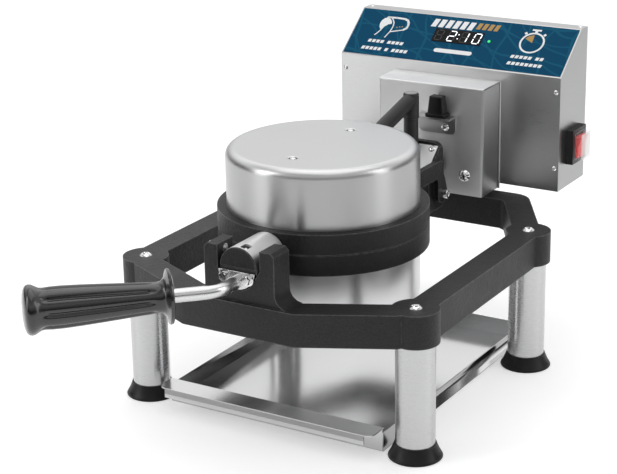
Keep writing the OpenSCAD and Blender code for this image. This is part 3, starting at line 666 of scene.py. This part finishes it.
def handle_bolts():
    """Two hexagon heads on washers."""
    low, high = box_mm("handle_bolts")
    radius, face = 4.6, low.y + 4.0
    bm = bmesh.new()
    for side in (-1, 1):
        place = stand_at(side * (high.x - radius), face, (low.z + high.z) / 2,
                         FORWARD @ spin(0.25 * side))
        lathe([(0, 0), (6.2, 0), (6.4, 0.2), (6.4, 0.8), (6.2, 1.0), (0, 1.0)], place, 48, bm)
        nut(radius, 4.0, place @ Matrix.Translation((0, 0, 1.0)), bm)
    show("handle_bolt_heads", to_mesh("handle_bolt_heads", bm), PLATED, "head",
         ["handle_bolts"])


def hinge_bolts():
    """Socket heads that stand out of the lid's lugs."""
    low, high = box_mm("hinge_bolts")
    centre = (low + high) / 2
    radius, length, deep = 4.7, 6.4, 2.6
    profile = ([(0, 0), (radius, 0)] + arc((radius - 0.6, length - 0.6), 0.6, 0, 90, 4)
               + [(2.9, length), (2.7, length - 0.25), (2.6, length - deep), (0, length - deep)])
    bm = bmesh.new()
    for side in (-1, 1):
        place = stand_at(side * (high.x - length), centre.y, centre.z,
                         Matrix.Rotation(side * math.radians(90), 4, "Y"))
        lathe(profile, place, 48, bm)
    show("hinge_bolt_heads", to_mesh("hinge_bolt_heads", bm), PLATED, "head",
         ["hinge_bolts"])


# The slope of the junction cover, from its foot to its head, as Y and Z.
YOKE_FOOT, YOKE_HEAD = (133, 185.2), (157, 206.5)
YOKE_SLOPE = stand_at(0, *YOKE_FOOT, Matrix.Rotation(
    math.atan2(YOKE_HEAD[1] - YOKE_FOOT[1], YOKE_HEAD[0] - YOKE_FOOT[0]), 4, "X"))

all_screws()
handle_bolts()
hinge_bolts()


# ---------- drums ----------

def drum(name, node, screw_node, body, material, up):
    """A spun sheet drum with a rounded edge, and a small cup and a black ring of painted shade at
    its two screws.
    """
    low, high = box_mm(node)
    radius, height, wall, edge = (high.x - low.x) / 2, high.z - low.z, 1.2, 9.0
    centre = ((low.x + high.x) / 2, (low.y + high.y) / 2)
    reach, cup_r, screw_r, depth = 54, 5.4, 3.4, 1.3
    # The flat's rings are closer together where the screw cups sink into it.
    rings = [2.0 * i for i in range(24)] + [47.0 + 0.5 * i for i in range(29)]
    rings += [r for r in (62.0 + 2.0 * i for i in range(12)) if r < radius - edge]
    outer = [(r, height) for r in rings]
    outer += arc((radius - edge, height - edge), edge, 90, 0, 12) + [(radius, 0)]
    inner = [(radius - wall, 0)] + arc((radius - edge, height - edge), edge - wall, 0, 90, 12) + [
        (0, height - wall)]
    bm = lathe(outer + inner, Matrix.Identity(4), 320)
    spots = [(0, -reach), (0, reach)]
    for v in bm.verts:
        if v.co.z < height - 0.01:
            continue
        for x, y in spots:
            away = math.hypot(v.co.x - x, v.co.y - y)
            share = min(max((cup_r - away) / (cup_r - screw_r), 0), 1)
            v.co.z -= depth * share * share * (3 - 2 * share)
    flip = Matrix.Identity(4) if up else Matrix.Rotation(math.pi, 4, "X")
    place = stand_at(centre[0], centre[1], low.z if up else high.z, flip)
    bm.transform(place)
    show(name, to_mesh(name, bm), material, body, [node])
    heads = [place @ Matrix.Translation((x, y, height - depth)) @ spin(0.5) for x, y in spots]
    screws(name + "_screws", screw_node, body, heads, screw_r - 0.1, 1.8)
    # A black ring round each screw is painted shade for the gap about the screw.
    bm = bmesh.new()
    for head in heads:
        shade_ring = [(2.9, 0), (4.5, 0), (4.7, 0.2), (4.7, 0.4), (4.4, 0.6), (2.9, 0.6), (2.9, 0)]
        lathe(shade_ring, head, 48, bm)
    show(name + "_shade_rings", to_mesh(name + "_shade_rings", bm), BLACK, body)


drum("lid_drum", "lid_cover", "lid_cover_screws", "lid", DRUM_SHADED_WALL, True)
drum("base_drum", "base_cover", "base_cover_screws", "head", DRUM_LOW_LIT_WALL, False)


# ---------- grip ----------

def grip():
    """The moulded grip: a guard disc, a waist with eight flutes and a domed end."""
    joint_z = middle("handle_rod").z * 1000
    turn = math.radians(46)
    straight_to, bend, run = -200, 30, 30    # the rod: straight, then a bend, then straight again
    x = -bend + bend * math.cos(turn) - run * math.sin(turn)
    y = straight_to - bend * math.sin(turn) - run * math.cos(turn)
    outline = [
        (6.4, 0.3), (22.5, 0.0), (24.4, 0.7), (25.0, 2.2), (24.4, 3.8), (21.5, 4.9), (17.5, 6.0),
        (14.8, 8.2), (13.9, 11.5), (14.0, 16), (14.6, 25), (15.6, 40), (17.0, 60), (18.2, 80),
        (18.9, 96), (18.9, 106), (18.5, 112), (18.9, 115.5), (20.6, 118.5), (22.2, 121.5),
        (22.5, 124), (21.8, 126.5), (19.5, 128.5), (15, 129.9), (9, 130.7), (4, 130.95), (0, 131),
    ]
    fine = []
    for (r0, z0), (r1, z1) in zip(outline, outline[1:]):
        cuts = max(1, int((z1 - z0) / 2.2))
        fine += [(r0 + (r1 - r0) * k / cuts, z0 + (z1 - z0) * k / cuts) for k in range(cuts)]
    fine.append(outline[-1])
    steps, flutes, flute_low, flute_high = 192, 8, 14, 116
    place = stand_at(x, y, joint_z) @ Matrix.Rotation(-turn, 4, "Z") @ FORWARD
    bm = lathe(fine, Matrix.Identity(4), steps)
    for v in bm.verts:
        r, z = v.co.xy.length, v.co.z
        if r < 12 or not flute_low < z < flute_high:
            continue
        ends = min(1, (z - flute_low) / 12, (flute_high - z) / 8)
        ends = math.sin(max(ends, 0) * math.pi / 2) ** 1.2
        a = math.atan2(v.co.y, v.co.x) * flutes / TURN
        away = abs(a - round(a)) * 2
        depth = 2.3 * ends * math.exp(-(away / 0.32) ** 2)
        v.co.xy *= (r - depth) / r
    bm.transform(place)
    show("grip_moulded", to_mesh("grip_moulded", bm), GRIP, "head", ["handle_grip"])


grip()


# ---------- sheet metal ----------

def tray():
    """The folded tray: a floor with low walls, and a lip along the front that folds down."""
    low, high = box_mm("drip_tray")
    lip, wall_h, drop, t = 22.5, 19.0, 10.0, 1.0
    wall_y = low.y + lip
    bm = bmesh.new()
    x = high.x
    block((-x, wall_y, 0), (x, high.y, t), bm)
    for side in (-1, 1):
        a, b = sorted((side * x, side * (x - t)))
        block((a, wall_y, t), (b, high.y, wall_h), bm)
    block((-x + t, high.y - t, t), (x - t, high.y, wall_h), bm)
    block((-x + t, wall_y, t), (x - t, wall_y + t, high.z - t), bm)
    corner = 8
    front = [(-x, wall_y + t), (-x, low.y + corner)]
    front += arc((-x + corner, low.y + corner), corner, 180, 270, 8)
    front += arc((x - corner, low.y + corner), corner, 270, 360, 8)
    front += [(x, wall_y + t)]
    prism(front, MM, high.z - t, high.z, bm)
    block((-x + corner, low.y, high.z - drop), (x - corner, low.y + t, high.z - t), bm)
    obj = show("tray_sheet", to_mesh("tray_sheet", bm), SHEET_TRAY, "tray",
               ["drip_tray"])
    add_bevel(obj, 0.45, 2)


def bracket():
    """The folded bracket box, with rounded bends and a thin flange against the control box."""
    low, high = box_mm("pivot_bracket")
    wall, r, flange, flange_t = 2.0, 3.0, 1.8, 1.2
    left, right = (low.x + r, low.y + r), (high.x - r, low.y + r)
    outside = [(low.x, high.y)] + arc(left, r, 180, 270, 6) + arc(right, r, 270, 360, 6)
    outside += [(high.x, high.y)]
    inside = [(high.x - wall, high.y)] + arc(right, r - wall, 360, 270, 6)
    inside += arc(left, r - wall, 270, 180, 6) + [(low.x + wall, high.y)]
    bm = prism(outside + inside, MM, low.z, high.z - wall)
    prism(outside, MM, high.z - wall, high.z, bm)
    for side in (-1, 1):
        x0, x1 = sorted((side * high.x, side * (high.x + flange)))
        block((x0, high.y - flange_t, low.z), (x1, high.y, high.z), bm)
    obj = show("bracket_sheet", to_mesh("bracket_sheet", bm), SHEET_SOFT, "stand",
               ["pivot_bracket"])
    add_bevel(obj, 0.9, 3, 50)


tray()
bracket()


# ---------- lid bumper ----------

def bumper():
    """The rubber stop: a flat foot and a tapered block."""
    low, high = box_mm("lid_bumper")
    middle_x, middle_y = (low.x + high.x) / 2, (low.y + high.y) / 2
    foot_t, wide, deep, taper = 4, 9.5, 6.5, 0.78
    bm = block(low, (high.x, high.y, low.z + foot_t))
    rows = [[bm.verts.new(MM @ Vector((middle_x + x * wide * scale,
                                       middle_y + y * deep * scale, z)))
             for x, y in ((-1, -1), (1, -1), (1, 1), (-1, 1))]
            for scale, z in ((1, low.z + 0.2), (taper, high.z))]
    for row in rows:
        bm.faces.new(row)
    for i in range(4):
        j = (i + 1) % 4
        bm.faces.new([rows[0][i], rows[0][j], rows[1][j], rows[1][i]])
    obj = show("bumper_block", to_mesh("bumper_block", bm), RUBBER, "stand",
               ["lid_bumper"])
    add_bevel(obj, 1.4, 4)


def clip():
    """The folded clip under the bumper: a plate with rounded lower corners, bent forward on top."""
    low, high = box_mm("bumper_bracket")
    t, bend, corner = 2.0, 3.0, 5.0
    rows = []
    for k in range(9):
        turn = math.pi / 2 * k / 8
        z = low.z + corner * (1 - math.cos(turn))
        rows.append(((high.y, z), (high.y - t, z), corner * (1 - math.sin(turn))))
    for k in range(9):
        turn = math.pi / 2 * k / 8
        out = Vector((math.cos(turn), math.sin(turn)))
        centre = Vector((high.y - bend, high.z - bend))
        rows.append((centre + out * bend, centre + out * (bend - t), 0))
    rows.append(((low.y, high.z), (low.y, high.z - t), 0))
    bm = bmesh.new()
    grid = [[bm.verts.new(MM @ Vector((x, y, z))) for x, (y, z) in (
        (low.x + inset, outer), (high.x - inset, outer),
        (high.x - inset, inner), (low.x + inset, inner))] for outer, inner, inset in rows]
    for first, second in zip(grid, grid[1:]):
        for i in range(4):
            j = (i + 1) % 4
            bm.faces.new([first[i], first[j], second[j], second[i]])
    bm.faces.new(grid[0])
    bm.faces.new(grid[-1])
    obj = show("bumper_clip", to_mesh("bumper_clip", bm), SHEET_X, "stand",
               ["bumper_bracket"])
    add_bevel(obj, 0.3, 2, 50)


bumper()
clip()


# ---------- cable sleeve ----------

def sleeve():
    """The flexible sleeve: up from the yoke, through an elbow with a pale disc on top, and forward
    into the lid's drum."""
    low, high = box_mm("cable_sleeve")
    body_r, riser_r, arm_r, arm_z = 8.5, 7.7, 7.8, 256
    rear_y, tilt, reach = high.y - body_r, math.radians(13.9), 97
    tall, collar, shoulder, elbow_r = high.z - low.z, 46, 48.2, riser_r + 0.5
    profile = [(0, 0), (riser_r, 0)] + [(riser_r, collar * k / 14) for k in range(1, 15)]
    profile += [(body_r, 46.4), (body_r, 47.6), (elbow_r, shoulder)]
    profile += [(elbow_r, shoulder + (tall - 1.4 - shoulder) * k / 7) for k in range(1, 8)]
    profile += [(riser_r + 0.2, tall - 0.5), (riser_r - 0.6, tall), (0, tall)]
    bm = lathe(profile, stand_at(0, rear_y, low.z), 48)
    arm = stand_at(0, rear_y, arm_z, Matrix.Rotation(math.radians(90) + tilt, 4, "X"))
    lathe([(0, 3)] + [(arm_r, 3 + (reach - 3) * k / 34) for k in range(35)] + [(0, reach)],
          arm, 48, bm)
    obj = show("sleeve_tube", to_mesh("sleeve_tube", bm), SLEEVE, None,
               ["cable_sleeve"])
    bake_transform(obj)
    # A pale grey disc lies on the elbow's top and makes the top look lighter.
    disc = [(0, 0), (6.4, 0), (6.4, 0.5), (6.0, 0.8), (0, 0.8)]
    pale_top_disc = lathe(disc, stand_at(0, rear_y, high.z), 48)
    show("sleeve_pale_top", to_mesh("sleeve_pale_top", pale_top_disc), PALE_TOP, "head")


sleeve()


# ---------- panel graphics ----------

# The sloped panel of the control box, from its lower edge to its upper one, as Y and Z.
BROW, CROWN = (233, 273.8), (285, 315.2)
SLOPE = stand_at(0, *BROW, Matrix.Rotation(
    math.atan2(CROWN[1] - BROW[1], CROWN[0] - BROW[0]), 4, "X"))


def ink(name, shapes, material, low=0.5, high=0.62):
    """Flat printed shapes on the label, each an outline of X and Y in millimetres."""
    bm = bmesh.new()
    for outline in shapes:
        prism(outline, SLOPE, low, high, bm)
    show(name, to_mesh(name, bm), material, "stand", smooth=False)


def bar(x0, y0, x1, y1, width):
    """A straight stroke with square ends."""
    along = Vector((x1 - x0, y1 - y0)).normalized() * width / 2
    out = Vector((-along.y, along.x))
    a, b = Vector((x0, y0)), Vector((x1, y1))
    return [tuple(p) for p in (a - out, b - out, b + out, a + out)]


def stroke(points, width):
    """Bars along a line of points, each a little long so that the corners close."""
    made = []
    for a, b in zip(points, points[1:]):
        more = (Vector(b) - Vector(a)).normalized() * width * 0.22
        made.append(bar(*(Vector(a) - more), *(Vector(b) + more), width))
    return made


def ring_shapes(centre, radius, width):
    """A ring, cut into short pieces so that each is a simple outline."""
    made, steps = [], 40
    for i in range(steps):
        a, b = 360 * i / steps, 360 * (i + 1) / steps
        made.append(arc(centre, radius - width, a, b, 1) + arc(centre, radius, b, a, 1))
    return made


def blocks(x0, x1, y0, y1, words, gap=1.3):
    """Plain slanted blocks in place of lettering. words holds the number of blocks in each word."""
    lean = 0.22
    space = 0.7
    count = sum(words) + (len(words) - 1) * space
    pitch = (x1 - x0 + gap) / count
    rise = (y1 - y0) * lean
    made, x = [], x0
    for word in words:
        for _ in range(word):
            made.append([(x, y0), (x + pitch - gap, y0),
                         (x + pitch - gap + rise, y1), (x + rise, y1)])
            x += pitch
        x += pitch * space
    return made


def panel_graphics():
    watch = (83.2, 41.2)
    shapes = ring_shapes(watch, 14.0, 2.0)
    shapes += [bar(watch[0], 54.8, watch[0], 57.8, 3.2),
               bar(watch[0] - 5.2, 58.6, watch[0] + 5.2, 58.6, 2.2)]
    for side in (-1, 1):
        turn = math.radians(90 + side * 42)
        tip = [(watch[0] + r * math.cos(turn), watch[1] + r * math.sin(turn)) for r in (14.6, 17.6)]
        shapes.append(bar(*tip[0], *tip[1], 2.8))
    ink("stopwatch_icon", shapes, WHITE_INK)
    ink("stopwatch_wedge", [[watch] + arc(watch, 10.4, 92, 152, 10)], GOLD_INK)

    bowl = [(-97.8, 37.7), (-100.3, 41.2), (-101.5, 45.8), (-100.8, 50.2), (-98.3, 53.6),
            (-94.5, 54.6), (-91, 53.0), (-88.2, 49.8), (-87.2, 46.6), (-90.8, 45.6), (-94.4, 42),
            (-96, 37.5)]
    jug = [bowl] + stroke([(-96.6, 37.4), (-99, 32.5), (-101.5, 29.2)], 1.3)
    jug += stroke([(-96, 55.0), (-91, 55.4), (-87.8, 52.6), (-85.0, 48.4), (-84.2, 44.0),
                   (-84.4, 40.0), (-85.0, 35.5), (-88.0, 27.2)], 1.3)
    jug += stroke([(-95, 55.2), (-84, 55.6), (-73.7, 55.2)], 2.4)
    jug += stroke([(-73.7, 55.0), (-69.6, 53.4), (-67.4, 50.0), (-66.6, 46.2), (-67.2, 42.6),
                   (-70.0, 40.2)], 2.6)
    jug += stroke([(-70.0, 39.9), (-76.5, 38.0), (-84.5, 35.6)], 1.4)
    ink("jug_icon", jug, WHITE_INK)
    dots = [arc((x, y), 0.8, 0, 330, 10) for x, y in ((-79, 42.6), (-76, 43.6), (-73, 44.2))]
    ink("jug_dots", dots, GOLD_INK)

    title = blocks(-40, 9.5, 49.2, 60.0, [6], 2.6)
    captions = (blocks(-106, -63, 19, 23, [4, 4]) + blocks(-110, -54, 8.6, 12.8, [5, 1, 4])
                + blocks(66, 103, 19, 23, [5, 2]) + blocks(65, 104, 10, 14, [8]))
    ink("title_blocks", title, WHITE_INK)
    ink("title_blocks_gold", blocks(13.5, 39, 51.4, 60.0, [4], 2.2), GOLD_INK)
    ink("caption_blocks", captions, WHITE_INK)
    rule = arc((19, 18), 2.6, 270, 450, 8) + arc((-21, 18), 2.6, 90, 270, 8)
    ink("plain_rule", [rule], WHITE_INK)


SEGMENTS = {
    "a": ((0, 2), (1, 2)), "b": ((1, 2), (1, 1)), "c": ((1, 1), (1, 0)), "d": ((0, 0), (1, 0)),
    "e": ((0, 0), (0, 1)), "f": ((0, 1), (0, 2)), "g": ((0, 1), (1, 1)),
}
DIGITS = {" ": "", "2": "abged", "1": "bc", "0": "abcdef"}


def display_digits():
    """Four seven-segment digits that show minutes and seconds."""
    low_y, width, height, slant, pitch = 31.7, 7.4, 6.7, 0.10, 15.0
    lit, dim = [], []
    for place, digit in enumerate(" 210"):
        x0 = -29.2 + place * pitch
        for key, ends in SEGMENTS.items():
            start, end = [Vector((x0 + x * width + slant * y * height, low_y + y * height))
                          for x, y in ends]
            trim = (end - start).normalized() * 0.75
            shapes = lit if key in DIGITS[digit] else dim
            shapes.append(bar(*(start + trim), *(end - trim), 1.15))
    lit += [arc((-2.2, y), 0.75, 0, 324, 9) for y in (35.6, 41.2)]
    ink("lit_segments", lit, LIT_SEGMENT, 1.0, 1.1)
    ink("dim_segments", dim, DIM_SEGMENT, 1.0, 1.06)


panel_graphics()
display_digits()


# ---------- floor, light and colour ----------

def area(name, place, target, width, height, power):
    light = bpy.data.lights.new(name, "AREA")
    light.shape = "RECTANGLE"
    light.size, light.size_y, light.energy = width, height, power
    obj = bpy.data.objects.new(name, light)
    bpy.context.scene.collection.objects.link(obj)
    obj.location = place
    obj.rotation_euler = (Vector(target) - Vector(place)).to_track_quat("-Z", "Y").to_euler()


def studio():
    bpy.ops.mesh.primitive_plane_add(size=14, location=(0, 0, 0))
    floor = bpy.context.active_object
    floor.name = "floor"
    p = Paint("floor_paper", (0.8, 0.8, 0.8), roughness=0.8, Specular_IOR_Level=0.1,
              Emission_Strength=0.38)
    clouds = p.spread(p.noise(p.place(), 2.0), 0.0, 1.0)
    p.colour(p.mix(clouds, (0.79, 0.79, 0.79), (0.81, 0.81, 0.81)))
    p.bsdf.inputs["Emission Color"].default_value = (1, 1, 1, 1)
    floor.data.materials.append(p.mat)

    area("overhead", (0.0, 0.1, 2.3), (0, 0, 0.1), 2.2, 2.2, 16)
    area("left_window", (-1.65, -1.75, 1.15), (0, 0, 0.2), 0.9, 2.0, 16)
    area("right_window", (2.3, 0.5, 1.1), (0, 0, 0.2), 0.8, 2.0, 11)

    world = bpy.data.worlds.new("studio")
    bpy.context.scene.world = world
    world.use_nodes = True
    sky = Nodes(world.node_tree)
    direction = sky.node("ShaderNodeTexCoord").outputs["Generated"]
    height = sky.node("ShaderNodeSeparateXYZ", Vector=direction).outputs["Z"]
    behind_left = sky.vector_maths("DOT_PRODUCT", direction, (-0.446, 0.742, 0.5), "Value")
    rising = sky.spread(height, 0.0, 0.75, 0.2, 0.5)
    falling = sky.spread(height, 1.0, 0.45, 0.6, 0.85)
    ceiling = sky.maths("MULTIPLY", rising, falling)
    glow = sky.maths("ADD", sky.spread(behind_left, 0.0, 0.6, 0.5, 0.95), ceiling)
    background = world.node_tree.nodes["Background"]
    background.inputs["Color"].default_value = (1, 1, 1, 1)
    sky.plug(sky.maths("ADD", glow, 0.06), background.inputs["Strength"])
    bpy.context.scene.view_settings.view_transform = "Standard"


studio()
